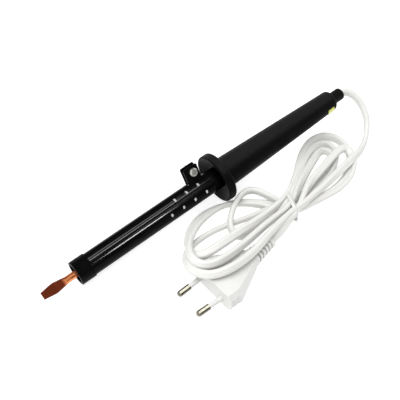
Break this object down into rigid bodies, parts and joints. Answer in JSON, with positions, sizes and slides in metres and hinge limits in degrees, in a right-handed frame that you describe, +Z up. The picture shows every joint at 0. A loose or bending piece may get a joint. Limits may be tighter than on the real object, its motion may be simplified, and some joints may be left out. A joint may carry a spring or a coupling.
{
  "type": "mains soldering iron",
  "caption": "Hand soldering iron with a copper chisel tip in a vented black barrel, flanged tapering handle with indicator lens, and a tied white mains cord with a flat two-pin plug.",
  "frame": {"origin": "on the bench under the middle of the iron's own box, cord left out", "axes": "+X runs from the tip towards the cord end, +Z is up from the bench; the iron lies pitched nose-down on its guard and front collar, the tied cord lies towards -Y"},
  "size_m": [0.259, 0.0928, 0.0342],
  "materials": {
    "copper": "warm copper, oxidised, forged blade",
    "black_steel": "gloss black heat-proof enamel",
    "collar_black": "satin black",
    "plated_steel": "zinc-plated steel",
    "ceramic": "unglazed white ceramic",
    "mica": "layered mica",
    "resistance_wire": "oxidised resistance wire",
    "glass_fibre": "woven white glass fibre",
    "handle_black": "matt moulded thermoset",
    "block_plastic": "moulded nylon",
    "brass_screw": "turned brass",
    "core_insulation": "core insulation",
    "cord_white": "smooth white PVC",
    "plug_white": "satin moulded white PVC",
    "pin_nickel": "nickel-plated brass",
    "lamp_glass": "clear glass bulb",
    "resistor_body": "lacquered",
    "lens_clear": "translucent yellow-green lens",
    "rubber_black": "satin black rubber"
  },
  "bodies": {
    "housing": {"front_collar": "collar_black", "front_washer": "plated_steel", "barrel_tube": "black_steel", "heater_sleeve": "resistance_wire", "inner_mica": "mica", "heater_winding": "resistance_wire", "outer_mica": "mica", "front_ceramic": "ceramic", "rear_ceramic": "ceramic", "glass_liner": "glass_fibre", "lead_wires": "resistance_wire", "lead_beads": "ceramic", "clamp_washer": "plated_steel", "clamp_nut": "plated_steel", "handle": "handle_black", "terminal_block": "block_plastic", "terminal_screws": "brass_screw", "supply_cores": "core_insulation", "cord_sheath_end": "cord_white", "cord_grip": "plated_steel", "neon_lamp": "lamp_glass", "ballast_resistor": "resistor_body", "lamp_leads": "plated_steel", "indicator_lens": "lens_clear", "cord_gland": "rubber_black", "cord_tail": "cord_white", "cord_hank": "cord_white", "cord_tie": "cord_white", "cord_plug_lead": "cord_white", "plug_body": "plug_white", "plug_strain_relief": "plug_white", "plug_pins": "pin_nickel", "pin_sleeves": "plug_white"},
    "bit": {"tip": "copper"},
    "screw": {"clamp_screw": "plated_steel"}
  },
  "joints": [
    {"name": "bit_slide", "type": "slide", "parent": "housing", "child": "bit", "axis": [-0.9966, 0, -0.0822], "range_m": [0, 0.038]},
    {"name": "clamp_screw_turn", "type": "hinge", "parent": "housing", "child": "screw", "pos_m": [-0.00525, 0.00694, 0.02867], "axis": [-0.0391, -0.8796, 0.474], "continuous": true}
  ]
}
